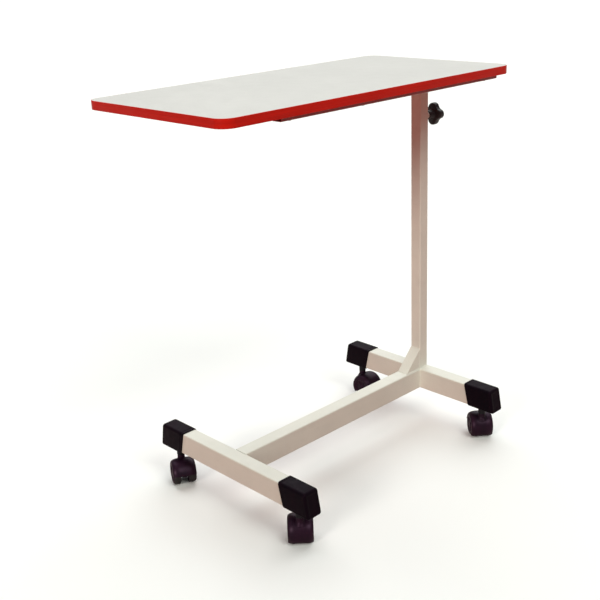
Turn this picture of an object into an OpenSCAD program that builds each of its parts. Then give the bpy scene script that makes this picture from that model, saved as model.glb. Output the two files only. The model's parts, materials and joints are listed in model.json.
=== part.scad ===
// Overbed table on a wheeled H-shaped base.
// A laminated top cantilevers from one square telescopic column; a lobed knob clamps its height.
// Frame: origin on the floor under the middle of the top, +Z up, +X from the free end to the column end.
// The table stands at its lowest height.

/* [Table top] */
// Length of the top, edge band included
top_l = 800; // [700:10:900]
// Width of the top, edge band included
top_w = 400; // [360:10:460]
// Height of the top surface above the floor at its lowest setting
top_z = 862; // [820:1:900]
// Thickness of the particle board core
core_t = 16; // [15:0.5:22]
// Thickness of the decorative laminate on top of the core
laminate_t = 0.8; // [0.6:0.1:1.2]
// Thickness of the backing sheet under the core
backing_t = 0.6; // [0.4:0.1:1]
// Thickness of the edge band around the core
edge_t = 1; // [0.8:0.1:2]
// Plan radius of the four corners
corner_r = 28; // [15:1:45]

/* [Carrier frame] */
// Width of the flat steel tube that the frame is made of
rail_w = 25; // [20:1:30]
// Height of that tube
rail_h = 12.5; // [10:0.5:15]
// Wall of that tube
rail_wall = 1.5; // [1.2:0.1:2]
// Gap from the long edge of the top to the frame
rail_inset = 30; // [20:1:40]
// Distance from the free end of the top to the frame
rail_start = 155; // [120:5:200]
// Thickness of the head plate between the frame and the column
plate_t = 5; // [4:0.5:6]

/* [Column] */
// Distance of the column axis from the free end of the top
column_x = 738; // [730:1:742]
// Outer side of the square column tube
column_w = 28; // [28:1:32]
// Wall of the column tube
column_wall = 1.5; // [1.2:0.1:1.5]
// Outer side of the square inner tube
inner_w = 22; // [20:0.5:22]
// Wall of the inner tube
inner_wall = 2; // [1.5:0.1:2.5]
// Height of the lower end of the inner tube above the floor
inner_foot_z = 240; // [200:5:300]
// Height travel of the top
travel = 280; // [200:10:280]
// Height of the clamp screw above the floor
clamp_z = 742; // [700:1:750]
// Diameter over the lobes of the clamp knob
knob_d = 50; // [44:1:56]
// Length of the gusset along the base beam
gusset_l = 50; // [30:1:50]
// Height of the gusset against the column
gusset_h = 52; // [40:1:70]

/* [Base] */
// Width of the rectangular base tube
base_w = 34; // [30:1:40]
// Height of the base tube
base_h = 50; // [40:1:60]
// Wall of the base tube
base_wall = 1.5; // [1.2:0.1:2]
// Height of the top of the base tube above the floor
base_z = 130; // [129:1:131]
// Distance of the front cross tube from the free end of the top
front_x = 137; // [100:1:200]
// Wall of the end caps over the tube
cap_wall = 2.5; // [2:0.5:3]
// Distance from the centre line to the far lower corner of an end cap
cap_reach = 234; // [234:1:250]

/* [Casters] */
// Distance of each caster stem from the centre line
caster_y = 190; // [186:1:192]
// Diameter of the wheels
wheel_d = 50; // [50:1:50]
// Width of one wheel of the pair
wheel_w = 17; // [15:1:17]
// Gap between the two wheels of a caster
wheel_gap = 18; // [18:1:20]
// Distance of the axle behind the swivel axis
trail = 16; // [14:1:18]

/* [Hidden] */
CORNERS = ["front_left", "front_right", "rear_left", "rear_right"];
// Which way each caster's front faces, in degrees from +X
CASTER_YAW = [-134, 62, -130, 90];
CASTER_PARTS = ["hood", "axle", "wheel_a", "wheel_b", "tread_a", "tread_b"];

$fn = 96;

// Colours
LAMINATE = [0.89, 0.88, 0.86];
RED = [0.66, 0.10, 0.08];
CREAM = [0.85, 0.82, 0.74];
BLACK = [0.09, 0.08, 0.09];
STEEL = [0.72, 0.72, 0.73];

// Places along X, measured from the middle of the top
mast_x = column_x - top_l / 2;
nose_x = front_x - top_l / 2;

// Heights in the top
underside_z = top_z - laminate_t - core_t - backing_t;
rail_z = underside_z - rail_h;
plate_z = rail_z - plate_t;

// Carrier frame: the cross rails stand at equal distances from the column axis
bolt_dx = 37.5;
bolt_dy = 40;
rail_x0 = rail_start - top_l / 2;
rail_x1 = mast_x + bolt_dx + rail_w / 2;
rail_y = top_w / 2 - rail_inset - rail_w / 2;
cross_l = 2 * rail_y - rail_w;
plate_l = 2 * bolt_dx + rail_w - 4;
plate_w = 2 * bolt_dy + 30;
tube_r = 3;

// Column: the sleeve's flange stops 6 mm under the head plate
flange_t = 4;
column_top = plate_z - 6 - flange_t;
column_bore = column_w - 2 * column_wall;
sleeve_l = 50;
slide_gap = 0.3;
shoe_l = 30;
shoe_t = 6;

// Clamp: an M8 screw in a boss welded to the column's outer face
screw_r = 4;
pad_r = 3.9;
pad_t = 4;
pad_gap = 0.15;
tip_r = 2.5;
tip_l = 2.4;
boss_r = 8;
boss_l = 12;
run_gap = 0.05;
face_x = mast_x + column_w / 2;
pad_x = mast_x + inner_w / 2 + pad_gap;
knob_gap = 2;
hub_r = 11;
hub_l = 15;
lobe_t = 16;
hub_x = face_x + boss_l + knob_gap;

// End caps lean outwards towards the floor
cap_z0 = base_z - base_h - cap_wall;
cap_z1 = base_z + cap_wall;
cap_inner_top = 150;
cap_inner_low = 163;
cap_outer_top = cap_reach - 10;
tube_half = cap_outer_top - 9;

// Caster stem and socket
socket_r = 8;
socket_bore = 6;
socket_h = 40;
socket_flange_r = 10;
socket_flange_t = 2;
stem_r = 5.5;
stem_h = 36;
ring_z = cap_z0 + 16;
ring_h = 14;
pivot_r = 4;
pivot_gap = 0.06;
neck_r = 8.5;
collar_top = cap_z0 - socket_flange_t;
hood_top = 62;
collar_gap = 0.3;
pivot_foot = 38;

// Caster wheels and hood
axle_z = wheel_d / 2;
axle_r = 3;
wheel_in = wheel_gap / 2;
wheel_out = wheel_in + wheel_w;
tread_t = 2.5;
rim_r = wheel_d / 2 - tread_t;
web_t = 13;
hood_in = wheel_d / 2 + 1.6;
hood_out = hood_in + 5.4;
hub_in = web_t / 2 + 0.3;
dish_r = 17;
dish = 3;
cap_head_r = 4.5;

// A plan rectangle with round corners
module rounded_rect(l, w, r) {
    square([l - 2 * r, w], center = true);
    square([l, w - 2 * r], center = true);
    for (x = [-1, 1], y = [-1, 1])
        translate([x * (l / 2 - r), y * (w / 2 - r)]) circle(r);
}

// A rectangular tube of length len, standing up from z = 0
module tube(len, a, b, wall, r) {
    linear_extrude(len) difference() {
        rounded_rect(a, b, r);
        rounded_rect(a - 2 * wall, b - 2 * wall, r - wall);
    }
}

// The same tube lying along +X from x0 to x1, or along Y centred on the origin
module tube_x(x0, x1, w, h, wall, r) {
    translate([x0, 0, 0]) rotate([90, 0, 90]) tube(x1 - x0, w, h, wall, r);
}

module tube_y(len, w, h, wall, r) {
    translate([0, len / 2, 0]) rotate([90, 0, 0]) tube(len, w, h, wall, r);
}

// Children with their own +Z along the row's +X, on the clamp axis from x
module on_clamp(x) {
    translate([x, 0, clamp_z]) rotate([0, 90, 0]) children();
}

// Places of the board screws and of the head plate bolts
module at_board_screws() {
    for (y = [-rail_y, rail_y], i = [0 : 3])
        translate([rail_x0 + 30 + i * (rail_x1 - rail_x0 - 60) / 3, y, rail_z]) children();
}

module at_plate_bolts() {
    for (x = [-bolt_dx, bolt_dx], y = [-bolt_dy, bolt_dy])
        translate([mast_x + x, y, plate_z]) children();
}

// Children moved to the foot of corner i: 0 and 1 at the free end, 2 and 3 under the column
module at_corner(i) {
    translate([i < 2 ? nose_x : mast_x, 0, 0])
        mirror([0, i % 2 == 0 ? 1 : 0, 0]) children();
}

// Children in the caster's own frame: swivel axis at the origin, front along +X
module at_caster(i) {
    translate([i < 2 ? nose_x : mast_x, (i % 2 == 0 ? -1 : 1) * caster_y, 0])
        rotate(CASTER_YAW[i]) children();
}

// ---------------------------------------------------------------- top
module board_outline() {
    rounded_rect(top_l - 2 * edge_t, top_w - 2 * edge_t, corner_r - edge_t);
}

module table_board() {
    color("tan") difference() {
        translate([0, 0, underside_z + backing_t]) linear_extrude(core_t) board_outline();
        at_board_screws() cylinder(r = 2, h = rail_h + backing_t + 12);
    }
}

module laminate_top() {
    color(LAMINATE) translate([0, 0, top_z - laminate_t])
        linear_extrude(laminate_t) board_outline();
}

module backing_sheet() {
    color(RED) difference() {
        translate([0, 0, underside_z]) linear_extrude(backing_t) board_outline();
        at_board_screws() cylinder(r = 2, h = rail_h + 5);
    }
}

module edge_band() {
    color(RED) translate([0, 0, underside_z]) linear_extrude(top_z - underside_z) difference() {
        rounded_rect(top_l, top_w, corner_r);
        board_outline();
    }
}

module carrier_rail(side) {
    color(RED) difference() {
        translate([0, side * rail_y, rail_z + rail_h / 2])
            tube_x(rail_x0, rail_x1, rail_w, rail_h, rail_wall, tube_r);
        at_board_screws() translate([0, 0, -1]) cylinder(r = 2, h = rail_h + 2);
    }
}

module carrier_cross(x) {
    color(RED) difference() {
        translate([x, 0, rail_z + rail_h / 2])
            tube_y(cross_l, rail_w, rail_h, rail_wall, tube_r);
        at_plate_bolts() cylinder(r = 3, h = plate_t + rail_wall + 1);
    }
}

module head_plate() {
    color(RED) difference() {
        translate([mast_x, 0, plate_z]) linear_extrude(plate_t) rounded_rect(plate_l, plate_w, 8);
        at_plate_bolts() translate([0, 0, -1]) cylinder(r = 3, h = plate_t + 2);
    }
}

module head_plate_bolts() {
    color(STEEL) at_plate_bolts() {
        translate([0, 0, -4]) cylinder(r = 5.8, h = 4, $fn = 6);
        cylinder(r = 3, h = plate_t + rail_h - rail_wall - 1);
    }
}

module board_screws() {
    color(STEEL) at_board_screws() {
        translate([0, 0, -2.5]) cylinder(r1 = 3.2, r2 = 4.5, h = 2.5);
        cylinder(r = 2, h = rail_h + backing_t + 12);
    }
}

module inner_tube() {
    color(STEEL) translate([mast_x, 0, inner_foot_z])
        tube(plate_z - inner_foot_z, inner_w, inner_w, inner_wall, 2.5);
}

// Plastic cup on the lower end of the inner tube, which slides in the column
module inner_tube_shoe() {
    shoe_w = column_bore - 2 * slide_gap;
    color(BLACK) translate([mast_x, 0, inner_foot_z - shoe_t]) difference() {
        linear_extrude(shoe_l) rounded_rect(shoe_w, shoe_w, 1.5);
        translate([0, 0, shoe_t]) linear_extrude(shoe_l) rounded_rect(inner_w, inner_w, 2.5);
    }
}

// ---------------------------------------------------------------- column
module column_tube() {
    color(CREAM) difference() {
        translate([mast_x, 0, base_z])
            tube(column_top - base_z, column_w, column_w, column_wall, 2.5);
        on_clamp(mast_x) cylinder(r = pad_r + 0.6, h = column_w);
    }
}

// Plastic guide pressed into the mouth of the column
module column_sleeve() {
    bore = inner_w + 2 * slide_gap;
    color(BLACK) translate([mast_x, 0, column_top - sleeve_l]) difference() {
        union() {
            linear_extrude(sleeve_l) rounded_rect(column_bore, column_bore, 2.5 - column_wall);
            translate([0, 0, sleeve_l]) linear_extrude(flange_t)
                rounded_rect(column_w + 2, column_w + 2, 3);
        }
        translate([0, 0, -1]) linear_extrude(sleeve_l + flange_t + 2) rounded_rect(bore, bore, 2);
    }
}

// A wedge of folded plate, open towards the column and the beam
module column_gusset() {
    plate = 3;
    slope = sqrt(gusset_l * gusset_l + gusset_h * gusset_h);
    in_l = gusset_l - plate * slope / gusset_h;
    in_h = gusset_h - plate * slope / gusset_l;
    color(CREAM) translate([mast_x - column_w / 2, 0, base_z]) rotate([90, 0, 0]) difference() {
        linear_extrude(column_w, center = true) polygon([[0, 0], [-gusset_l, 0], [0, gusset_h]]);
        linear_extrude(column_w - 2 * plate, center = true)
            polygon([[1, -1], [-in_l, -1], [-in_l, 0], [0, in_h], [1, in_h]]);
    }
}

module clamp_boss() {
    color(CREAM) on_clamp(face_x) difference() {
        cylinder(r = boss_r, h = boss_l);
        translate([0, 0, -1]) cylinder(r = screw_r + run_gap, h = boss_l + 2);
    }
}

// Brass pad that the screw pushes against the inner tube without turning
module thrust_pad() {
    color("goldenrod") on_clamp(pad_x) difference() {
        cylinder(r = pad_r, h = pad_t);
        translate([0, 0, pad_t - tip_l - 0.1]) cylinder(r = tip_r + run_gap, h = tip_l + 1);
    }
}

module clamp_stud() {
    color(STEEL) {
        on_clamp(pad_x + pad_t - tip_l) cylinder(r = tip_r, h = tip_l + 1);
        on_clamp(pad_x + pad_t + 0.1) cylinder(r = screw_r, h = hub_x + 22 - pad_x - pad_t - 0.1);
    }
}

module knob_outline() {
    lobe_r = knob_d * 0.19;
    reach = knob_d / 2 - lobe_r;
    circle(knob_d * 0.37);
    for (a = [0 : 90 : 270]) rotate(a) {
        translate([reach, 0]) circle(lobe_r);
        translate([reach / 2, 0]) square([reach, 2 * lobe_r], center = true);
    }
}

module clamp_knob() {
    color(BLACK) on_clamp(hub_x) difference() {
        union() {
            cylinder(r1 = hub_r - 2, r2 = hub_r, h = hub_l);
            translate([0, 0, hub_l]) linear_extrude(lobe_t) knob_outline();
        }
        translate([0, 0, -1]) cylinder(r = screw_r, h = 23);
    }
}

// ---------------------------------------------------------------- base
module cross_tube(x) {
    color(CREAM) difference() {
        translate([x, 0, base_z - base_h / 2])
            tube_y(2 * tube_half, base_w, base_h, base_wall, tube_r);
        for (y = [-caster_y, caster_y])
            translate([x, y, base_z - base_h - 1]) cylinder(r = socket_r, h = base_h / 2);
    }
}

module spine_beam() {
    color(CREAM) translate([0, 0, base_z - base_h / 2])
        tube_x(nose_x + base_w / 2, mast_x - base_w / 2, base_w, base_h, base_wall, tube_r);
}

// Outline of an end cap in its Y-Z plane, with small chamfers at the corners
module cap_outline() {
    c = 2;
    lean = (cap_reach - cap_outer_top) / (cap_z1 - cap_z0);
    polygon([
        [cap_inner_low, cap_z0],
        [cap_reach - c, cap_z0],
        [cap_reach - c * lean, cap_z0 + c],
        [cap_outer_top + c * lean, cap_z1 - c],
        [cap_outer_top - c, cap_z1],
        [cap_inner_top, cap_z1]
    ]);
}

module end_cap(i) {
    width = base_w + 2 * cap_wall;
    color(BLACK) at_corner(i) difference() {
        intersection() {
            rotate([90, 0, 90]) linear_extrude(width, center = true) cap_outline();
            translate([0, cap_reach + 1, (cap_z0 + cap_z1) / 2]) rotate([90, 0, 0])
                linear_extrude(cap_reach) rounded_rect(width, cap_z1 - cap_z0, 5);
        }
        translate([0, tube_half, base_z - base_h / 2]) rotate([90, 0, 0])
            linear_extrude(tube_half) rounded_rect(base_w, base_h, tube_r);
        translate([0, caster_y, cap_z0 - 1]) cylinder(r = socket_r, h = base_h / 2);
    }
}

// ---------------------------------------------------------------- casters
module caster_sockets() {
    color(BLACK) for (i = [0 : 3]) at_caster(i) translate([0, 0, cap_z0]) difference() {
        union() {
            translate([0, 0, -socket_flange_t]) cylinder(r = socket_flange_r, h = socket_flange_t);
            cylinder(r = socket_r, h = socket_h);
        }
        translate([0, 0, -socket_flange_t - 1]) cylinder(r = socket_bore, h = socket_h);
    }
}

module grip_rings() {
    color(STEEL) for (i = [0 : 3]) at_caster(i) translate([0, 0, ring_z]) difference() {
        cylinder(r = socket_bore, h = ring_h);
        translate([0, 0, -1]) cylinder(r = stem_r, h = ring_h + 2);
    }
}

// Stem in the socket, collar, and the pivot that the hood turns on
module caster_stem(i) {
    neck_foot = hood_top + collar_gap;
    color(STEEL) at_caster(i) {
        translate([0, 0, collar_top]) cylinder(r = stem_r, h = stem_h - 1.5);
        translate([0, 0, collar_top + stem_h - 1.5]) cylinder(r1 = stem_r, r2 = 4, h = 1.5);
        translate([0, 0, neck_foot]) cylinder(r = neck_r, h = collar_top - neck_foot);
        translate([0, 0, pivot_foot]) cylinder(r = pivot_r, h = neck_foot - pivot_foot);
    }
}

// The fender's side outline: a ring over the wheels, open at the rear and at the foot
module fender_outline() {
    difference() {
        circle(hood_out);
        circle(hood_in);
        polygon([[0, 0], 60 * [cos(170), sin(170)], [-60, -60], 60 * [cos(-40), sin(-40)]]);
    }
}

// The web's side outline: a disc with its foot cut off along a slope that rises to the rear
module web_outline() {
    intersection() {
        circle(hood_in + 1);
        polygon([[30, -27], [18, -20.2], [-30, 2.2], [-60, 16.2], [-60, 60], [60, 60], [60, -27]]);
    }
}

module caster_hood(i) {
    width = 2 * wheel_out;
    color(BLACK) at_caster(i) difference() {
        union() {
            translate([-trail, 0, axle_z]) rotate([90, 0, 0]) {
                linear_extrude(width, center = true) fender_outline();
                linear_extrude(web_t, center = true) web_outline();
            }
            translate([0, 0, pivot_foot - 2]) cylinder(r = 8, h = hood_top - pivot_foot + 2);
        }
        translate([0, 0, pivot_foot - 0.5]) cylinder(r = pivot_r + pivot_gap, h = 30);
        translate([-trail, 0, axle_z]) rotate([90, 0, 0])
            cylinder(r = axle_r, h = 2 * web_t, center = true);
    }
}

module caster_axle(i) {
    head_y = wheel_out - dish + 0.3;
    color(STEEL) at_caster(i) translate([-trail, 0, axle_z]) rotate([90, 0, 0]) {
        cylinder(r = axle_r, h = 2 * head_y, center = true);
        for (s = [-1, 1]) translate([0, 0, s * (head_y + 0.6)])
            cylinder(r = cap_head_r, h = 1.2, center = true);
    }
}

// One wheel of the pair on side s, with its dished outer face and its inner boss
module caster_wheel(i, s) {
    lip = 1.2;
    color(BLACK) at_caster(i) translate([-trail, 0, axle_z]) rotate([-90 * s, 0, 0])
        rotate_extrude() polygon([
            [axle_r + run_gap, hub_in],
            [7.5, hub_in],
            [7.5, wheel_in],
            [rim_r, wheel_in],
            [rim_r, wheel_out - lip],
            [rim_r - lip, wheel_out],
            [dish_r + 1, wheel_out],
            [dish_r, wheel_out - dish],
            [axle_r + run_gap, wheel_out - dish]
        ]);
}

module caster_tread(i, s) {
    r = wheel_d / 2;
    shoulder = 1.5;
    color([0.16, 0.15, 0.16]) at_caster(i) translate([-trail, 0, axle_z]) rotate([-90 * s, 0, 0])
        rotate_extrude() polygon([
            [rim_r, wheel_in],
            [r - shoulder, wheel_in],
            [r, wheel_in + shoulder],
            [r, wheel_out - 1.2 - shoulder],
            [r - shoulder, wheel_out - 1.2],
            [rim_r, wheel_out - 1.2]
        ]);
}

table_board();
laminate_top();
backing_sheet();
edge_band();
carrier_rail(-1);  // carrier_rail_left
carrier_rail(1);  // carrier_rail_right
carrier_cross(rail_x0 + rail_w / 2);  // carrier_cross_free
carrier_cross(mast_x - bolt_dx);  // carrier_cross_inner
carrier_cross(mast_x + bolt_dx);  // carrier_cross_outer
head_plate();
head_plate_bolts();
board_screws();
inner_tube();
inner_tube_shoe();
column_tube();
column_sleeve();
column_gusset();
clamp_boss();
thrust_pad();
clamp_stud();
clamp_knob();
cross_tube(mast_x);  // rear_cross_tube
cross_tube(nose_x);  // front_cross_tube
spine_beam();
caster_sockets();
grip_rings();
for (i = [0 : 3]) {
    end_cap(i);
    caster_stem(i);
    caster_hood(i);
    caster_axle(i);
    caster_wheel(i, -1);
    caster_wheel(i, 1);
    caster_tread(i, -1);
    caster_tread(i, 1);
}
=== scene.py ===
"""Looks and detailed pieces of the overbed table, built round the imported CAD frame.

Lengths are in metres, in the CAD frame: the origin on the floor under the middle of the top, +Z up,
+X from the free end of the top to the column end. Casters, caps and wheels are named by the corner
they stand at.
"""

import json
import math
import random

import bmesh
import bpy
from mathutils import Matrix, Vector


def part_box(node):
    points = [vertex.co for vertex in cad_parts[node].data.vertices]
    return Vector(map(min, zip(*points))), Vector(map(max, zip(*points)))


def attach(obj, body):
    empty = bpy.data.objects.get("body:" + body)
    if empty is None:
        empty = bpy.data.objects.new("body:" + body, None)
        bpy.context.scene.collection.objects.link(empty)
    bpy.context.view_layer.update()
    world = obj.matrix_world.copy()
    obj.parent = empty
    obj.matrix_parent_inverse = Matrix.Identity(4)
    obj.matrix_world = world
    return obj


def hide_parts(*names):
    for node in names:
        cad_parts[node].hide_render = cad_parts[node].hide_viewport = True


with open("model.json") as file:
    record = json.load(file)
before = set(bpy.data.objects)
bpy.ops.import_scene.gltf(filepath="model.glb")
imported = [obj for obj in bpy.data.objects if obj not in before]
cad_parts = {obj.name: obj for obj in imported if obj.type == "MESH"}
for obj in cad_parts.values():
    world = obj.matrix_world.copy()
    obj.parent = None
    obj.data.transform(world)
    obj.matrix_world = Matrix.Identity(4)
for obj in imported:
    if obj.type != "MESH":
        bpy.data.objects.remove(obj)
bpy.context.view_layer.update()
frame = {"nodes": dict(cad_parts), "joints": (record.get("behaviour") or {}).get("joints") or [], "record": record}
NODES = frame["nodes"]
RECORD = frame["record"]

MM = 0.001
TAU = 2 * math.pi
CORNERS = ("front_left", "front_right", "rear_left", "rear_right")
SLOT_OF = {p["node"]: p["material_slot"] for p in RECORD["subparts"]}
JOINTS = {j["name"]: j for j in frame["joints"]}
rng = random.Random(20)

# ---------------------------------------------------------------- camera
CAM_AZIMUTH = -43.5
CAM_ELEVATION = 20.0
CAM_ROLL = -2.4
CAM_TARGET = Vector((-0.0328, 0.0264, 0.400))
CAM_DISTANCE = 2.115
CAM_LENS = 59.0
SENSOR = 36.0
CAM_CLIP = (0.05, 120.0)


def back_from(azimuth, elevation):
    """Unit vector from the object towards a viewer at that azimuth and elevation, in degrees."""
    a, e = math.radians(azimuth), math.radians(elevation)
    return Vector((math.sin(a) * math.cos(e), -math.cos(a) * math.cos(e), math.sin(e)))


def make_camera():
    back = back_from(CAM_AZIMUTH, CAM_ELEVATION)
    right = (-back).cross(Vector((0, 0, 1))).normalized()
    up = right.cross(-back)
    roll = math.radians(CAM_ROLL)
    x = right * math.cos(roll) + up * math.sin(roll)
    y = up * math.cos(roll) - right * math.sin(roll)
    data = bpy.data.cameras.new("camera")
    data.lens, data.sensor_width = CAM_LENS, SENSOR
    data.clip_start, data.clip_end = CAM_CLIP
    camera = bpy.data.objects.new("camera", data)
    bpy.context.scene.collection.objects.link(camera)
    place = Matrix((x, y, back)).transposed().to_4x4()
    place.translation = CAM_TARGET + back * CAM_DISTANCE
    camera.matrix_world = place
    bpy.context.scene.camera = camera


make_camera()


# ---------------------------------------------------------------- materials
def new_material(name, roughness, metallic=0.0, specular=0.5, gloss_tint=(1, 1, 1)):
    material = bpy.data.materials.new(name)
    material.use_nodes = True
    tree = material.node_tree
    tree.nodes.clear()
    out = tree.nodes.new("ShaderNodeOutputMaterial")
    shader = tree.nodes.new("ShaderNodeBsdfPrincipled")
    tree.links.new(shader.outputs[0], out.inputs[0])
    shader.inputs["Roughness"].default_value = roughness
    shader.inputs["Metallic"].default_value = metallic
    shader.inputs["Specular IOR Level"].default_value = specular
    shader.inputs["Specular Tint"].default_value = (*gloss_tint, 1.0)
    return material, tree, shader


def grain(tree, scale, detail=2.0, roughness=0.5, stretch=(1, 1, 1)):
    """Noise over the piece's own coordinates, about scale bumps a metre, stretched along an axis."""
    coords = tree.nodes.new("ShaderNodeTexCoord")
    mapping = tree.nodes.new("ShaderNodeMapping")
    mapping.inputs["Scale"].default_value = stretch
    noise = tree.nodes.new("ShaderNodeTexNoise")
    noise.inputs["Scale"].default_value = scale
    noise.inputs["Detail"].default_value = detail
    noise.inputs["Roughness"].default_value = roughness
    tree.links.new(coords.outputs["Object"], mapping.inputs["Vector"])
    tree.links.new(mapping.outputs["Vector"], noise.inputs["Vector"])
    return noise.outputs["Fac"]


def cells(tree, scale, feature="F1", output="Color"):
    coords = tree.nodes.new("ShaderNodeTexCoord")
    voronoi = tree.nodes.new("ShaderNodeTexVoronoi")
    voronoi.feature = feature
    voronoi.inputs["Scale"].default_value = scale
    tree.links.new(coords.outputs["Object"], voronoi.inputs["Vector"])
    return voronoi.outputs[output]


def ramp(tree, factor, *stops):
    """Colour ramp over (position, colour) stops."""
    node = tree.nodes.new("ShaderNodeValToRGB")
    elements = node.color_ramp.elements
    while len(elements) < len(stops):
        elements.new(0.5)
    for element, (position, colour) in zip(elements, stops):
        element.position = position
        element.color = (*colour, 1.0)
    tree.links.new(factor, node.inputs["Fac"])
    return node.outputs["Color"]


def spread(tree, factor, low, high, start=0.3, end=0.7):
    """factor's range from start to end mapped to low..high."""
    node = tree.nodes.new("ShaderNodeMapRange")
    for name, value in (("From Min", start), ("From Max", end), ("To Min", low), ("To Max", high)):
        node.inputs[name].default_value = value
    tree.links.new(factor, node.inputs["Value"])
    return node.outputs["Result"]


def blend_colour(tree, factor, first, second, mode="MIX"):
    node = tree.nodes.new("ShaderNodeMix")
    node.data_type, node.blend_type = "RGBA", mode
    for socket, value in ((node.inputs[0], factor), (node.inputs[6], first), (node.inputs[7], second)):
        if isinstance(value, bpy.types.NodeSocket):
            tree.links.new(value, socket)
        elif isinstance(value, tuple):
            socket.default_value = (*value, 1.0)
        else:
            socket.default_value = value
    return node.outputs[2]


def bump(tree, shader, *layers):
    """Stacks (height, distance in metres, strength) layers into the shader's normal."""
    normal = None
    for height, distance, strength in layers:
        node = tree.nodes.new("ShaderNodeBump")
        node.inputs["Distance"].default_value = distance
        node.inputs["Strength"].default_value = strength
        tree.links.new(height, node.inputs["Height"])
        if normal is not None:
            tree.links.new(normal, node.inputs["Normal"])
        normal = node.outputs["Normal"]
    tree.links.new(normal, shader.inputs["Normal"])


def shade(colour, factor):
    return tuple(c * factor for c in colour)


def laminate():
    material, tree, shader = new_material("laminate", 0.45, specular=0.30)
    base = (0.655, 0.640, 0.622)
    cloud = ramp(tree, grain(tree, 5, 3), (0.35, shade(base, 0.975)), (0.65, shade(base, 1.02)))
    fleck = spread(tree, grain(tree, 650, 2, 0.6), 0.0, 1.0, 0.60, 0.72)
    tree.links.new(blend_colour(tree, fleck, cloud, shade(base, 0.93)), shader.inputs["Base Color"])
    tree.links.new(spread(tree, grain(tree, 30, 4), 0.38, 0.50), shader.inputs["Roughness"])
    bump(tree, shader, (grain(tree, 900, 3), 0.03 * MM, 0.5), (grain(tree, 220, 2), 0.03 * MM, 0.3))
    return material


def edge_red():
    material, tree, shader = new_material("edge_red", 0.34, specular=0.15)
    base = (0.62, 0.012, 0.005)
    drawn = grain(tree, 60, 3, 0.5, (0.15, 0.15, 12))
    colour = ramp(tree, drawn, (0.3, shade(base, 0.86)), (0.7, shade(base, 1.08)))
    tree.links.new(colour, shader.inputs["Base Color"])
    tree.links.new(spread(tree, grain(tree, 45, 4), 0.28, 0.44), shader.inputs["Roughness"])
    bump(tree, shader, (drawn, 0.05 * MM, 0.4), (grain(tree, 1100, 2), 0.02 * MM, 0.3))
    return material


def powder(name, base, roughness, peel=650, dirt=0.0):
    """Powder coat: orange peel, slight mottling, and a little grime in noise patches if dirt is above 0."""
    material, tree, shader = new_material(name, roughness)
    mottle = ramp(tree, grain(tree, 14, 4), (0.3, shade(base, 0.965)), (0.7, shade(base, 1.025)))
    speck = spread(tree, grain(tree, 1500, 1), 0.0, 0.35, 0.62, 0.75)
    colour = blend_colour(tree, speck, mottle, shade(base, 0.86))
    if dirt:
        grime = spread(tree, grain(tree, 26, 5, 0.65), 0.0, dirt, 0.55, 0.8)
        colour = blend_colour(tree, grime, colour, (0.30, 0.26, 0.21))
    tree.links.new(colour, shader.inputs["Base Color"])
    low, high = roughness - 0.06, roughness + 0.07
    tree.links.new(spread(tree, grain(tree, 38, 4), low, high), shader.inputs["Roughness"])
    bump(tree, shader, (grain(tree, peel, 1), 0.06 * MM, 0.55), (grain(tree, peel / 4, 2), 0.05 * MM, 0.35))
    return material


def moulded(name, base, tint, roughness, coarse=1800, specular=0.5, gloss_tint=(1, 1, 1)):
    """Moulded plastic: fine spark-eroded grain, faint flow marks and a tint that drifts."""
    material, tree, shader = new_material(name, roughness, specular=specular, gloss_tint=gloss_tint)
    colour = ramp(tree, grain(tree, 22, 4, 0.6, (1, 1, 0.4)), (0.35, base), (0.7, tint))
    tree.links.new(colour, shader.inputs["Base Color"])
    low, high = roughness - 0.07, roughness + 0.08
    tree.links.new(spread(tree, grain(tree, 70, 5, 0.6), low, high), shader.inputs["Roughness"])
    bump(tree, shader, (grain(tree, coarse, 2, 0.6), 0.035 * MM, 0.6), (grain(tree, 160, 2), 0.05 * MM, 0.25))
    return material


def rubber():
    material, tree, shader = new_material("tread_grey", 0.68, specular=0.4)
    dust = spread(tree, grain(tree, 60, 5, 0.65), 0.0, 0.35, 0.5, 0.8)
    colour = blend_colour(tree, dust, (0.012, 0.011, 0.013), (0.050, 0.044, 0.044))
    tree.links.new(colour, shader.inputs["Base Color"])
    tree.links.new(spread(tree, grain(tree, 90, 4), 0.58, 0.78), shader.inputs["Roughness"])
    bump(tree, shader, (grain(tree, 1300, 3, 0.6), 0.05 * MM, 0.6), (grain(tree, 300, 2), 0.06 * MM, 0.3))
    return material


def metal(name, base, roughness, stretch, line_scale=500):
    """Plated or turned metal with fine lines along the axis that stretch leaves short."""
    material, tree, shader = new_material(name, roughness, metallic=1.0)
    lines = grain(tree, line_scale, 3, 0.6, stretch)
    spangle = ramp(tree, cells(tree, 120), (0.1, shade(base, 0.90)), (0.9, shade(base, 1.05)))
    colour = blend_colour(tree, spread(tree, lines, 0.0, 0.3), spangle, shade(base, 0.8))
    tree.links.new(colour, shader.inputs["Base Color"])
    tree.links.new(spread(tree, lines, roughness - 0.07, roughness + 0.09), shader.inputs["Roughness"])
    bump(tree, shader, (lines, 0.02 * MM, 0.35), (grain(tree, 240, 3), 0.02 * MM, 0.25))
    return material


def particle_board():
    material, tree, shader = new_material("board", 0.85)
    chips_a_metre = 420
    dark, middle, light = (0.30, 0.19, 0.10), (0.52, 0.37, 0.21), (0.66, 0.50, 0.31)
    chips = ramp(tree, cells(tree, chips_a_metre), (0.1, dark), (0.5, middle), (0.9, light))
    tree.links.new(chips, shader.inputs["Base Color"])
    joints = cells(tree, chips_a_metre, "DISTANCE_TO_EDGE", "Distance")
    bump(tree, shader, (joints, 0.2 * MM, 0.5), (grain(tree, 800, 3), 0.1 * MM, 0.4))
    return material


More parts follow.
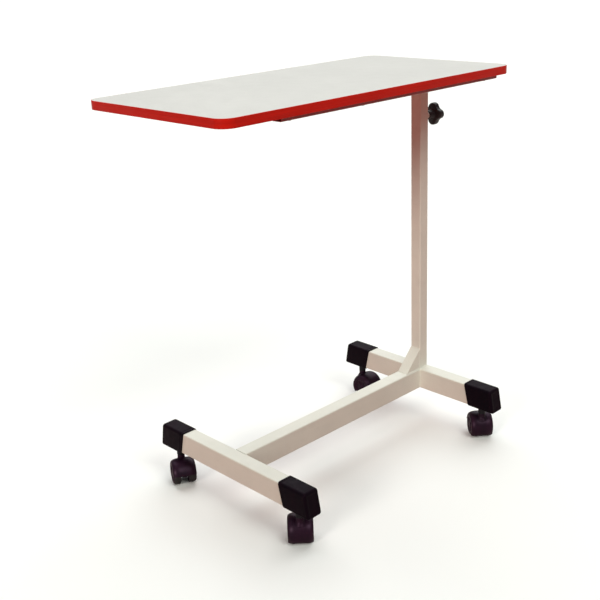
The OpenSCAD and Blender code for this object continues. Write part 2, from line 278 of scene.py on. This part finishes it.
def backing():
    material, tree, shader = new_material("backing_red", 0.6)
    base = (0.62, 0.030, 0.022)
    colour = ramp(tree, grain(tree, 9, 4), (0.3, shade(base, 0.92)), (0.7, shade(base, 1.06)))
    fibre = grain(tree, 300, 3, 0.6, (1, 0.12, 1))
    colour = blend_colour(tree, spread(tree, fibre, 0.0, 0.3), colour, shade(base, 0.8))
    tree.links.new(colour, shader.inputs["Base Color"])
    tree.links.new(spread(tree, grain(tree, 50, 4), 0.52, 0.68), shader.inputs["Roughness"])
    bump(tree, shader, (fibre, 0.04 * MM, 0.4), (grain(tree, 900, 2), 0.03 * MM, 0.3))
    return material


CREAM = (0.775, 0.770, 0.700)
DARK_RED = (0.30, 0.022, 0.018)
CAP_DARK, CAP_TINT = (0.0022, 0.0022, 0.0034), (0.0060, 0.0026, 0.0050)
CASTER_DARK, CASTER_TINT = (0.009, 0.0044, 0.0092), (0.027, 0.0066, 0.020)
KNOB_DARK, KNOB_TINT = (0.016, 0.0095, 0.0125), (0.030, 0.016, 0.021)

MATERIALS = {
    "laminate": laminate(),
    "board": particle_board(),
    "backing_red": backing(),
    "edge_red": edge_red(),
    "frame_red": powder("frame_red", DARK_RED, 0.42),
    "steel_cream": powder("steel_cream", CREAM, 0.40, dirt=0.10),
    "tube_plated": metal("tube_plated", (0.66, 0.66, 0.67), 0.26, (1, 1, 0.02), 900),
    "plastic_black": moulded("plastic_black", CAP_DARK, CAP_TINT, 0.50, 1800, 0.065, (1.0, 0.42, 0.80)),
    "caster_black": moulded("caster_black", CASTER_DARK, CASTER_TINT, 0.40, 2400, 0.20, (1.0, 0.64, 0.95)),
    "knob_black": moulded("knob_black", KNOB_DARK, KNOB_TINT, 0.42, 1800, 0.3),
    "tread_grey": rubber(),
    "steel_zinc": metal("steel_zinc", (0.58, 0.58, 0.59), 0.34, (1, 1, 1), 260),
    "steel_black": metal("steel_black", (0.030, 0.028, 0.032), 0.42, (1, 1, 0.1), 400),
    "pad_brass": metal("pad_brass", (0.72, 0.50, 0.20), 0.28, (0.1, 1, 1), 600),
}

for name, node in NODES.items():
    node.data.materials.clear()
    node.data.materials.append(MATERIALS[SLOT_OF[name]])


# ---------------------------------------------------------------- edges of the CAD nodes
MERGE_WITHIN = 0.01 * MM
FLAT_WITHIN = 0.5
BEVEL_OVER = 32.0
BEVEL_SEGMENTS = 3


def soften(node, width):
    """Rounds a CAD node's sharp edges with modifiers; its own mesh keeps its shape."""
    if node not in NODES:
        return
    piece = NODES[node]
    piece.data.shade_smooth()
    weld = piece.modifiers.new("weld", "WELD")
    weld.merge_threshold = MERGE_WITHIN
    flats = piece.modifiers.new("flats", "DECIMATE")
    flats.decimate_type, flats.angle_limit = "DISSOLVE", math.radians(FLAT_WITHIN)
    bevel = piece.modifiers.new("bevel", "BEVEL")
    bevel.limit_method, bevel.angle_limit = "ANGLE", math.radians(BEVEL_OVER)
    bevel.width, bevel.segments = width, BEVEL_SEGMENTS
    bevel.use_clamp_overlap = True
    normals = piece.modifiers.new("normals", "WEIGHTED_NORMAL")
    normals.keep_sharp, normals.weight = False, 80


SOFT_EDGES = {
    "laminate_top": 0.25, "backing_sheet": 0.2, "table_board": 0.2,
    "carrier_rail_left": 0.4, "carrier_rail_right": 0.4,
    "carrier_cross_free": 0.4, "carrier_cross_inner": 0.4, "carrier_cross_outer": 0.4,
    "head_plate": 0.8, "head_plate_bolts": 0.4, "board_screws": 0.4,
    "inner_tube": 0.4, "inner_tube_shoe": 0.6,
    "column_tube": 0.4, "column_sleeve": 0.7, "column_gusset": 0.8, "clamp_boss": 0.7,
    "thrust_pad": 0.3, "clamp_stud": 0.3,
    "rear_cross_tube": 0.4, "front_cross_tube": 0.4, "spine_beam": 0.4,
    "caster_sockets": 0.6, "grip_rings": 0.2,
}
for name, width in SOFT_EDGES.items():
    soften(name, width * MM)
for corner in CORNERS:
    soften(f"caster_stem_{corner}", 0.6 * MM)
    soften(f"caster_axle_{corner}", 0.35 * MM)


# ---------------------------------------------------------------- mesh tools
def skin(rings, loop=False, cap_first=False, cap_last=False):
    """Vertices and faces of the surface through rings of equally many points."""
    count, rows = len(rings[0]), len(rings)
    faces = []
    for i in range(rows if loop else rows - 1):
        a, b = i * count, (i + 1) % rows * count
        faces += [(a + j, a + (j + 1) % count, b + (j + 1) % count, b + j) for j in range(count)]
    if cap_first:
        faces.append(tuple(reversed(range(count))))
    if cap_last:
        faces.append(tuple(range((rows - 1) * count, rows * count)))
    return [tuple(p) for ring in rings for p in ring], faces


def add_piece(name, parts, body, slot, replaces=(), place=None, sharp=38.0, finish=None):
    """One object from (vertices, faces) parts, riding on a body, in the finish of a material slot."""
    mesh = bpy.data.meshes.new(name)
    bm = bmesh.new()
    for verts, faces in parts:
        made = [bm.verts.new(v) for v in verts]
        for face in faces:
            bm.faces.new([made[i] for i in face])
    bmesh.ops.remove_doubles(bm, verts=bm.verts, dist=0.001 * MM)
    bmesh.ops.recalc_face_normals(bm, faces=bm.faces)
    if place is not None:
        bm.transform(place)
    bm.to_mesh(mesh)
    bm.free()
    mesh.materials.append(MATERIALS[finish or slot])
    mesh.shade_smooth()
    mesh.set_sharp_from_angle(angle=math.radians(sharp))
    piece = bpy.data.objects.new(name, mesh)
    bpy.context.scene.collection.objects.link(piece)
    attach(piece, body)
    if replaces:
        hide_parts(*replaces)
    return piece


def rounded_outline(length, width, radius, steps=8):
    """Plan points of a rectangle with round corners, the same number for any size."""
    points = []
    for sx, sy, start in ((1, 1, 0), (-1, 1, 90), (-1, -1, 180), (1, -1, 270)):
        cx, cy = sx * (length / 2 - radius), sy * (width / 2 - radius)
        for k in range(steps + 1):
            a = math.radians(start + 90 * k / steps)
            points.append((cx + radius * math.cos(a), cy + radius * math.sin(a)))
    return points


def quarter(radius, steps):
    """(inset, drop) pairs of a quarter round from the face's edge to the side."""
    return [
        (radius * (1 - math.sin(TAU / 4 * k / steps)), radius * (1 - math.cos(TAU / 4 * k / steps)))
        for k in range(steps + 1)
    ]


def lathe(profile, steps=96):
    """A closed (radius, height) profile turned about the local Y axis."""
    rings = [
        [(r * math.cos(TAU * k / steps), h, r * math.sin(TAU * k / steps)) for r, h in profile]
        for k in range(steps)
    ]
    return skin(rings, loop=True)


# ---------------------------------------------------------------- edge band
BAND_CORNER = 28 * MM
BAND_ROUND = 0.85


def edge_band():
    """The band round the board, its outer edges rounded by BAND_ROUND of its thickness."""
    low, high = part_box("edge_band")
    board_low, board_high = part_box("table_board")
    length, width = high.x - low.x, high.y - low.y
    centre = (low + high) / 2
    thick = (length - (board_high.x - board_low.x)) / 2
    edge = quarter(BAND_ROUND * thick, 5)
    profile = [(thick, high.z)] + [(inset, high.z - drop) for inset, drop in edge]
    profile += [(inset, low.z + drop) for inset, drop in reversed(edge)] + [(thick, low.z)]
    rings = []
    for inset, z in profile:
        outline = rounded_outline(length - 2 * inset, width - 2 * inset, BAND_CORNER - inset, 16)
        rings.append([(centre.x + x, centre.y + y, z) for x, y in outline])
    add_piece("edge_band_profile", [skin(rings, loop=True)], "top", "edge_red", ["edge_band"])


edge_band()


# ---------------------------------------------------------------- end caps
CAP_ROUND = 6.5 * MM
CAP_EDGE = 4.6 * MM
CAP_LIP = 1.0 * MM
CAP_LEAN = 10 * MM
CAP_MOUTH = (150 * MM, 163 * MM)
CAP_DISH = ((13.0, 0.55), (9.0, 0.5), (7.9, 0.35), (7.2, 0.05))
CAP_GROOVE = ((8.6, 0.0), (8.1, 0.45), (7.3, 0.45), (6.8, 0.0))
TUBE_ROUND = 3 * MM
STOP_GAP = 0.2 * MM
STOP_INSET = 10 * MM


def end_cap(corner):
    """A moulded cap over the tube's end: both ends lean outwards towards the floor."""
    node = f"end_cap_{corner}"
    low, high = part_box(node)
    side = 1 if high.y > 0 else -1
    tube_low, tube_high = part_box("front_cross_tube" if corner.startswith("front") else "rear_cross_tube")
    cap = (high.x - low.x, high.z - low.z, CAP_ROUND)
    tube = (tube_high.x - tube_low.x, tube_high.z - tube_low.z, TUBE_ROUND)
    centre = (low + high) / 2
    reach = max(abs(low.y), abs(high.y))
    far = (reach - CAP_LEAN, reach)
    stop = (tube_high.y - STOP_GAP, tube_high.y - STOP_GAP)

    def ring(plane, offset=0.0, inset=0.0, section=cap):
        """A section on a leaning plane, given by its distances from the middle at its top and foot."""
        width, height, corner_r = section
        outline = rounded_outline(width - 2 * inset, height - 2 * inset, max(corner_r - inset, 0.8 * MM), 6)
        at_top, at_foot = plane
        points = []
        for x, z in outline:
            rise = (centre.z + z - low.z) / cap[1]
            points.append((centre.x + x, side * (at_foot + (at_top - at_foot) * rise + offset), centre.z + z))
        return points

    # outer end: a shallow dish inside a rounded rim
    rings = [ring(far, -depth * MM, inset * MM) for inset, depth in CAP_DISH]
    rings += [ring(far, -depth, inset) for inset, depth in quarter(CAP_EDGE, 6)]
    # sides, with a shallow groove near the mouth, then the mouth's lip
    rings += [ring(CAP_MOUTH, place * MM, inset * MM) for place, inset in CAP_GROOVE]
    rings += [ring(CAP_MOUTH, depth, inset) for inset, depth in reversed(quarter(CAP_LIP, 4))]
    # pocket for the tube
    rings += [ring(CAP_MOUTH, section=tube), ring(stop, section=tube), ring(stop, 0.0, STOP_INSET, tube)]
    shell = skin(rings, cap_first=True, cap_last=True)
    add_piece(f"{node}_moulding", [shell], "base", "plastic_black", [node])


for corner in CORNERS:
    end_cap(corner)


# ---------------------------------------------------------------- casters
WHEEL_R = 25 * MM
WHEEL_OUT = 26 * MM
HOOD_R = 32 * MM
HOOD_BORE = 28.6 * MM
HOOD_T = 2.6 * MM
HOOD_FROM, HOOD_TO = -40.0, 170.0
HOOD_ARCH = 7.0
ARCH_HALF = 15 * MM
CROWN_FLAT = 10.0 * MM
CROWN_DROP = 7.5 * MM
HOOD_LIP = 0.006
HOOD_INNER_WIDTH = 0.985
HOOD_STEPS = 56
HOOD_PINCH, HOOD_PINCH_NEAR, HOOD_PINCH_WIDTH = 0.45, 0.12, 0.02
WEB_R = 28 * MM
WEB_HALF = 6.5 * MM
WEB_EDGE = 1.0 * MM
WEB_FOOT_DROP = 11.8 * MM
WEB_FOOT_SLOPE = 0.466
WEB_FOOT = (-27.9 * MM, 18.9 * MM)
WEB_FROM, WEB_SWEEP = -47.5, 225
WEB_MIDDLE = Vector((0.0, 4 * MM))
WEB_ROUNDING = ((0.0, 1.0), (0.3, 0.3), (1.0, 0.0))
NECK = (
    (12.5, -15.5), (11.2, -13.2), (9.6, -11.2), (8.5, -9.0),
    (8.1, -6.5), (8.0, -1.0), (7.7, -0.3), (7.1, 0.0),
)


def caster_place(corner):
    """The caster's own frame (swivel axis at the origin, front along +X), its trail and axle height."""
    swivel = Vector(JOINTS[f"swivel_{corner}"]["pos_m"])
    axle = Vector(JOINTS[f"roll_a_{corner}"]["pos_m"])
    forward = Vector((swivel.x - axle.x, swivel.y - axle.y))
    yaw = math.atan2(forward.y, forward.x)
    place = Matrix.Translation((swivel.x, swivel.y, 0)) @ Matrix.Rotation(yaw, 4, "Z")
    return place, forward.length, axle.z


def crown_radius(y):
    """Outer radius of the fender across its width: flat in the middle, rounded shoulders."""
    t = max(0.0, (abs(y) - CROWN_FLAT) / (WHEEL_OUT - CROWN_FLAT))
    return HOOD_R - CROWN_DROP * (1 - math.sqrt(max(0.0, 1 - t**2)))


def fender_section():
    """Closed (y, radius) loop of the fender's wall."""
    rows = 24
    across = [WHEEL_OUT * math.sin(math.pi / 2 * (2 * k / rows - 1)) for k in range(rows + 1)]
    outer = [(y, crown_radius(y)) for y in across]
    inner = [(y * HOOD_INNER_WIDTH, min(r - HOOD_T, HOOD_BORE)) for y, r in outer]
    return outer + inner[::-1]


def fender(centre):
    """The rolled cover over both wheels; its front edge arches up in the middle."""
    section = fender_section()
    middle = HOOD_R - HOOD_T / 2

    def ring(along, pinch=0.0):
        """The section at a share of the way round, drawn in towards the middle of the wall by pinch."""
        points = []
        for y, r in section:
            start = HOOD_FROM + HOOD_ARCH * max(0.0, 1 - (y / ARCH_HALF) ** 2)
            a = math.radians(start + (HOOD_TO - start) * along)
            r += (middle - r) * pinch
            across = y * (1 - HOOD_PINCH_WIDTH * pinch)
            points.append(centre + Vector((r * math.cos(a), across, r * math.sin(a))))
        return points

    near_end = HOOD_LIP * 0.4
    rings = [ring(0.0, HOOD_PINCH), ring(near_end, HOOD_PINCH_NEAR)]
    rings += [ring(HOOD_LIP + (1 - 2 * HOOD_LIP) * k / HOOD_STEPS) for k in range(HOOD_STEPS + 1)]
    rings += [ring(1 - near_end, HOOD_PINCH_NEAR), ring(1.0, HOOD_PINCH)]
    return skin(rings, cap_first=True, cap_last=True)


def web(centre):
    """The plate between the wheels that holds the axle, its foot cut along a slope that rises to the rear."""
    arc, foot = 72, 8
    points = []
    for k in range(arc + 1):
        a = math.radians(WEB_FROM + WEB_SWEEP * k / arc)
        points.append((WEB_R * math.cos(a), WEB_R * math.sin(a)))
    for k in range(1, foot):
        x = WEB_FOOT[0] + (WEB_FOOT[1] - WEB_FOOT[0]) * k / foot
        points.append((x, -WEB_FOOT_DROP - WEB_FOOT_SLOPE * x))

    def ring(y, inset):
        """The outline at y, drawn in towards the web's middle by inset."""
        inward = []
        for point in points:
            d = Vector(point) - WEB_MIDDLE
            p = WEB_MIDDLE + d * (1 - inset / d.length)
            inward.append(centre + Vector((p.x, y, p.y)))
        return inward

    near_edge = [(WEB_EDGE * step - WEB_HALF, WEB_EDGE * inset) for step, inset in WEB_ROUNDING]
    rings = [ring(y, inset) for y, inset in near_edge]
    rings += [ring(-y, inset) for y, inset in reversed(near_edge)]
    return skin(rings, cap_first=True, cap_last=True)


def hood(corner):
    """Fender, web and the flared neck that takes the stem's pivot."""
    place, trail, axle_z = caster_place(corner)
    node = f"caster_hood_{corner}"
    centre = Vector((-trail, 0, axle_z))
    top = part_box(node)[1].z
    count = 48
    rings = []
    for r, rise in NECK:
        circle = [(math.cos(TAU * k / count), math.sin(TAU * k / count)) for k in range(count)]
        rings.append([(r * MM * x, r * MM * y, top + rise * MM) for x, y in circle])
    neck = skin(rings, cap_first=True, cap_last=True)
    parts = [fender(centre), web(centre), neck]
    add_piece(f"{node}_shell", parts, f"caster_{corner}", "caster_black", [node], place)


RIM = 22.5
DISC = (
    (3.05, 6.8), (7.3, 6.8), (7.5, 7.0), (7.5, 9.2), (RIM - 0.4, 9.2), (RIM, 9.6),
    (RIM, 24.2), (RIM - 0.35, 24.9), (RIM - 1.1, 25.6), (RIM - 2.2, 25.9), (RIM - 3.4, 25.7),
    (RIM - 4.2, 25.0), (RIM - 4.6, 23.9), (16.6, 23.4), (9.4, 23.3), (8.8, 23.6),
    (8.5, 24.4), (7.9, 25.0), (6.6, 25.4), (4.0, 25.7), (0.0, 25.8), (0.0, 24.9),
    (4.8, 24.9), (4.8, 22.9), (3.05, 22.9),
)
RIBS = 6
RIB_PLAN = ((7.8, -1.0), (17.4, -0.8), (17.7, 0.0), (17.4, 0.8), (7.8, 1.0))
RIB_RISE = ((1.5, 23.1), (1.5, 24.0), (1.1, 24.5), (0.5, 24.7))
TREAD_INNER = ((RIM, 9.3), (23.2, 9.3), (24.4, 9.8), (25.0, 11.1))
TREAD_OUTER = 24.7
TREAD_STEPS = 8
TREAD_FOOT = (RIM - 1.2, TREAD_OUTER + 0.1)
SHOULDER, SHOULDER_DROP = 8.0, 3.4


def wheel(corner, name, side):
    """A moulded disc with rim, ribs and domed hub, and its tread with round shoulders."""
    place, trail, axle_z = caster_place(corner)
    to_axle = place @ Matrix.Translation((-trail, 0, axle_z)) @ Matrix.Scale(side, 4, (0, 1, 0))
    body = f"wheel_{name}_{corner}"
    parts = [lathe([(r * MM, y * MM) for r, y in DISC])]
    for k in range(RIBS):
        turn = Matrix.Rotation(TAU * k / RIBS, 4, "Y")
        rib = [
            [turn @ Vector((x * MM, height * MM, z * half * MM)) for x, z in RIB_PLAN]
            for half, height in RIB_RISE
        ]
        parts.append(skin(rib, cap_first=True, cap_last=True))
    node = f"caster_wheel_{name}_{corner}"
    add_piece(f"{node}_disc", parts, body, "caster_black", [node], to_axle)

    profile = list(TREAD_INNER)
    for k in range(TREAD_STEPS + 1):
        a = TAU / 4 * k / TREAD_STEPS
        r = WHEEL_R / MM - SHOULDER_DROP * (1 - math.cos(a))
        profile.append((r, TREAD_OUTER - SHOULDER * (1 - math.sin(a))))
    profile.append(TREAD_FOOT)
    tread = lathe([(r * MM, y * MM) for r, y in profile])
    node = f"caster_tread_{name}_{corner}"
    add_piece(f"{node}_band", [tread], body, "tread_grey", [node], to_axle)


for corner in CORNERS:
    hood(corner)
    wheel(corner, "a", 1)
    wheel(corner, "b", -1)


# ---------------------------------------------------------------- clamp knob
LOBES = 4
KNOB_R = 25 * MM
LOBE_R = 9.5 * MM
LOBE_T = 16 * MM
HOLLOW_R = 18.8 * MM
LOBE_BLEND = 9


def lobe_radius(angle):
    """Distance from the axis to the knob's outline, with the hollows between the lobes softened."""
    reach = KNOB_R - LOBE_R
    best = []
    for k in range(LOBES):
        d = angle - TAU * k / LOBES
        along, off = reach * math.cos(d), reach * math.sin(d)
        if along > 0 and abs(off) < LOBE_R:
            best.append(along + math.sqrt(LOBE_R**2 - off**2))
    best.append(HOLLOW_R)
    total = sum((b / KNOB_R) ** LOBE_BLEND for b in best) ** (1 / LOBE_BLEND) * KNOB_R
    return min(total, KNOB_R)


KNOB_EDGE = 3.4 * MM
STUD_R = 4.05 * MM
STUD_BORE = 20 * MM
HUB_FOOT = ((0.0, 4.55), (0.0, 8.2), (0.25, 8.8), (0.9, 9.1))
HUB_NECK = ((0.45, 9.8), (0.8, 10.8))
HUB_TOP_R = 12.2 * MM
HUB_TOP_DROP = 1.2 * MM
LOBE_SHARES = (0.30, 0.62)
COIN_R = 10.2 * MM
COIN_DROP = 0.15 * MM
COIN = ((10.2, -0.2), (9.7, -0.35), (9.5, -0.9), (9.1, -1.0), (8.6, -0.55), (5.0, -0.15), (2.0, -0.05))


def knob():
    """Four rounded lobes on a flared hub, with a shallow coin set into the face."""
    low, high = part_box("clamp_knob")
    axis_y, axis_z = (low.y + high.y) / 2, (low.z + high.z) / 2
    count, steps = 144, 6
    hub_l = high.x - low.x - LOBE_T
    face = hub_l + LOBE_T

    def ring(x, radius, lobed=0.0, inset=0.0):
        """A section at x whose outline goes from round (lobed 0) to the lobes less an inset (lobed 1)."""
        points = []
        for k in range(count):
            a = TAU * k / count
            r = radius + (lobe_radius(a) - inset - radius) * lobed
            points.append((low.x + x, axis_y + r * math.cos(a), axis_z + r * math.sin(a)))
        return points

    rings = [ring(STUD_BORE, STUD_R * 0.4), ring(STUD_BORE, STUD_R), ring(0.3 * MM, STUD_R)]
    rings += [ring(x * MM, r * MM) for x, r in HUB_FOOT]
    rings += [ring(hub_l * share, r * MM) for share, r in HUB_NECK]
    rings.append(ring(hub_l - HUB_TOP_DROP, HUB_TOP_R))
    for share in LOBE_SHARES:
        rings.append(ring(hub_l - HUB_TOP_DROP * (1 - share), HUB_TOP_R, share, KNOB_EDGE))
    edge = quarter(KNOB_EDGE, steps)
    rings += [ring(hub_l + drop, 0.0, 1.0, inset) for inset, drop in edge]
    rings += [ring(face - drop, 0.0, 1.0, inset) for inset, drop in reversed(edge)]
    for share, drop in zip(reversed(LOBE_SHARES), (0.0, COIN_DROP)):
        rings.append(ring(face - drop, COIN_R, share, KNOB_EDGE))
    rings += [ring(face + x * MM, r * MM) for r, x in COIN]
    shell = skin(rings, cap_first=True, cap_last=True)
    add_piece(
        "clamp_knob_lobed", [shell], "clamp_screw", "plastic_black", ["clamp_knob"], finish="knob_black")


knob()


# ---------------------------------------------------------------- weld beads
BEAD_PITCH = 2.4 * MM
BEAD_STEPS = 5
BEAD_SIDES = 10
BEAD_RIPPLE, BEAD_CHANCE = 0.13, 0.05
BEAD_TIP = 0.35
BEAD_SIDEWAYS = Vector((0.31, 0.52, 0.79))
GUSSET_WIDTH = 0.985
TUBE_WELD, RAIL_WELD, PLATE_WELD, BOSS_WELD, CREST_WELD = 1.7 * MM, 1.2 * MM, 1.3 * MM, 1.3 * MM, 1.4 * MM


def bead(name, path, radius, body, slot, closed=False):
    """A rippled weld bead along a path of points, thin at its ends if it has any."""
    points = [Vector(p) for p in path]
    dense = []
    last = len(points) if closed else len(points) - 1
    for i in range(last):
        a, b = points[i], points[(i + 1) % len(points)]
        cuts = max(1, int((b - a).length / (BEAD_PITCH / BEAD_STEPS)))
        dense += [a.lerp(b, k / cuts) for k in range(cuts)]
    if not closed:
        dense.append(points[-1])
    rings, run = [], 0.0
    for i, p in enumerate(dense):
        before = dense[i - 1] if i or closed else p
        after = dense[(i + 1) % len(dense)] if i + 1 < len(dense) or closed else p
        tangent = (after - before).normalized()
        side = tangent.cross(BEAD_SIDEWAYS).normalized()
        up = side.cross(tangent)
        run += (p - dense[i - 1]).length if i else 0.0
        ripple = 1 + BEAD_RIPPLE * math.sin(TAU * run / BEAD_PITCH) + rng.uniform(-BEAD_CHANCE, BEAD_CHANCE)
        r = radius * ripple
        if not closed and i in (0, len(dense) - 1):
            r *= BEAD_TIP
        turns = [TAU * k / BEAD_SIDES for k in range(BEAD_SIDES)]
        rings.append([p + (side * math.cos(a) + up * math.sin(a)) * r for a in turns])
    tube = skin(rings, loop=closed, cap_first=not closed, cap_last=not closed)
    add_piece(name, [tube], body, slot, sharp=80)


def base_welds():
    """Beads where the beam, column, gusset and boss meet their neighbours."""
    beam_low, beam_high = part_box("spine_beam")
    column_low, column_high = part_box("column_tube")
    gusset_low, gusset_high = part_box("column_gusset")
    boss_low, boss_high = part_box("clamp_boss")
    lines = {}
    for end, x in (("front", beam_low.x + 0.2 * MM), ("rear", beam_high.x - 0.2 * MM)):
        for side, y in (("left", beam_low.y), ("right", beam_high.y)):
            lines[f"beam_{end}_{side}"] = (
                TUBE_WELD, (x, y, beam_low.z + TUBE_ROUND), (x, y, beam_high.z - TUBE_ROUND))
        lines[f"beam_{end}_foot"] = (
            TUBE_WELD, (x, beam_low.y + TUBE_ROUND, beam_low.z), (x, beam_high.y - TUBE_ROUND, beam_low.z))
    foot, back = column_low.z, column_low.x
    for side, y in (("left", column_low.y), ("right", column_high.y)):
        inner = y * GUSSET_WIDTH
        top = gusset_high.z - 1.5 * MM
        lines[f"column_{side}"] = (TUBE_WELD, (back + 1 * MM, y, foot), (column_high.x - 2 * MM, y, foot))
        lines[f"gusset_foot_{side}"] = (TUBE_WELD, (gusset_low.x + 1 * MM, inner, foot), (back, inner, foot))
        lines[f"gusset_back_{side}"] = (PLATE_WELD, (back, inner, foot), (back, inner, top))
    near, far = column_low.y, column_high.y
    lines["column_outer"] = (
        TUBE_WELD, (column_high.x, near + 2 * MM, foot), (column_high.x, far - 2 * MM, foot))
    crest = gusset_high.z - 1 * MM
    lines["gusset_top"] = (CREST_WELD, (back, near + 1 * MM, crest), (back, far - 1 * MM, crest))
    for name, (radius, start, end) in lines.items():
        bead(f"weld_{name}", [start, end], radius, "base", "steel_cream")
    centre, r = (boss_low.z + boss_high.z) / 2, (boss_high.z - boss_low.z) / 2
    turns = [TAU * k / 32 for k in range(32)]
    ring = [(column_high.x + 0.2 * MM, r * math.cos(a), centre + r * math.sin(a)) for a in turns]
    bead("weld_boss", ring, BOSS_WELD, "base", "steel_cream", closed=True)


def carrier_welds():
    """Beads where the cross rails meet the long rails, and round the inner tube's top."""
    for node in ("carrier_cross_free", "carrier_cross_inner", "carrier_cross_outer"):
        low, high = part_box(node)
        z = low.z + 0.2 * MM
        for side, y in (("left", low.y), ("right", high.y)):
            foot = [(low.x + TUBE_ROUND, y, z), (high.x - TUBE_ROUND, y, z)]
            bead(f"weld_{node}_{side}", foot, RAIL_WELD, "top", "frame_red")
    low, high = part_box("inner_tube")
    cx, cy, side = (low.x + high.x) / 2, (low.y + high.y) / 2, high.x - low.x
    z = high.z - 0.3 * MM
    ring = [(cx + x, cy + y, z) for x, y in rounded_outline(side, side, 2.5 * MM, 4)]
    bead("weld_inner_tube", ring, CREST_WELD, "top", "tube_plated", closed=True)


base_welds()
carrier_welds()


# ---------------------------------------------------------------- floor, light, background
FLOOR_BOUNCE = (0.40, 0.15, 0.12)
FLOOR_GLOSS = (0.60, 0.54, 0.51)
FLOOR_PALE = ((0.96, 0.96, 0.96), (0.98, 0.98, 0.98))
FLOOR_HALF = 40.0
WORLD_SEEN, WORLD_MIRRORED, WORLD_LIGHTING = 1.28, 0.30, 0.03
# azimuth, elevation and angular width in degrees, strength, colour
SUNS = {
    "key": (132, 60, 75, 2.60, (0.955, 0.985, 0.965)),
    "fill_end": (-80, 21, 20, 1.36, (1.0, 0.94, 0.85)),
    "fill_side": (-8, 44, 34, 1.36, (0.96, 1.0, 0.92)),
}


def make_floor():
    """A plain pale floor; what it throws back onto the object is dimmer and warmer than what is seen."""
    half = FLOOR_HALF
    mesh = bpy.data.meshes.new("floor")
    corners = [(-half, -half, 0), (half, -half, 0), (half, half, 0), (-half, half, 0)]
    mesh.from_pydata(corners, [], [(0, 1, 2, 3)])
    material, tree, shader = new_material("floor", 0.9, specular=0.05)
    pale = ramp(tree, grain(tree, 2, 3), (0.3, FLOOR_PALE[0]), (0.7, FLOOR_PALE[1]))
    paths = tree.nodes.new("ShaderNodeLightPath")
    colour = blend_colour(tree, paths.outputs["Is Glossy Ray"], FLOOR_BOUNCE, FLOOR_GLOSS)
    colour = blend_colour(tree, paths.outputs["Is Camera Ray"], colour, pale)
    tree.links.new(colour, shader.inputs["Base Color"])
    mesh.materials.append(material)
    floor = bpy.data.objects.new("floor", mesh)
    bpy.context.scene.collection.objects.link(floor)


def sun_light(name, azimuth, elevation, width, strength, colour):
    """A broad soft light from a direction, the same over the whole floor."""
    data = bpy.data.lights.new(name, "SUN")
    data.angle, data.energy, data.color = math.radians(width), strength, colour
    light = bpy.data.objects.new(name, data)
    light.rotation_mode = "QUATERNION"
    light.rotation_quaternion = (-back_from(azimuth, elevation)).to_track_quat("-Z", "Y")
    bpy.context.scene.collection.objects.link(light)


def make_world(seen, mirrored, lighting):
    """A pale surround: as bright as seen for the camera, dimmer in reflections, dimmer still as a light."""
    world = bpy.data.worlds.new("world")
    bpy.context.scene.world = world
    world.use_nodes = True
    tree = world.node_tree
    tree.nodes.clear()
    out = tree.nodes.new("ShaderNodeOutputWorld")
    background = tree.nodes.new("ShaderNodeBackground")
    paths = tree.nodes.new("ShaderNodeLightPath")
    level = None
    for ray, value in (("Is Glossy Ray", mirrored - lighting), ("Is Camera Ray", seen - lighting)):
        node = tree.nodes.new("ShaderNodeMath")
        node.operation = "MULTIPLY_ADD"
        node.inputs[1].default_value = value
        node.inputs[2].default_value = lighting
        tree.links.new(paths.outputs[ray], node.inputs[0])
        if level is not None:
            tree.links.new(level, node.inputs[2])
        level = node.outputs[0]
    tree.links.new(level, background.inputs["Strength"])
    tree.links.new(background.outputs[0], out.inputs[0])


make_floor()
make_world(WORLD_SEEN, WORLD_MIRRORED, WORLD_LIGHTING)
for name, facts in SUNS.items():
    sun_light(name, *facts)
bpy.context.scene.view_settings.view_transform = "Standard"
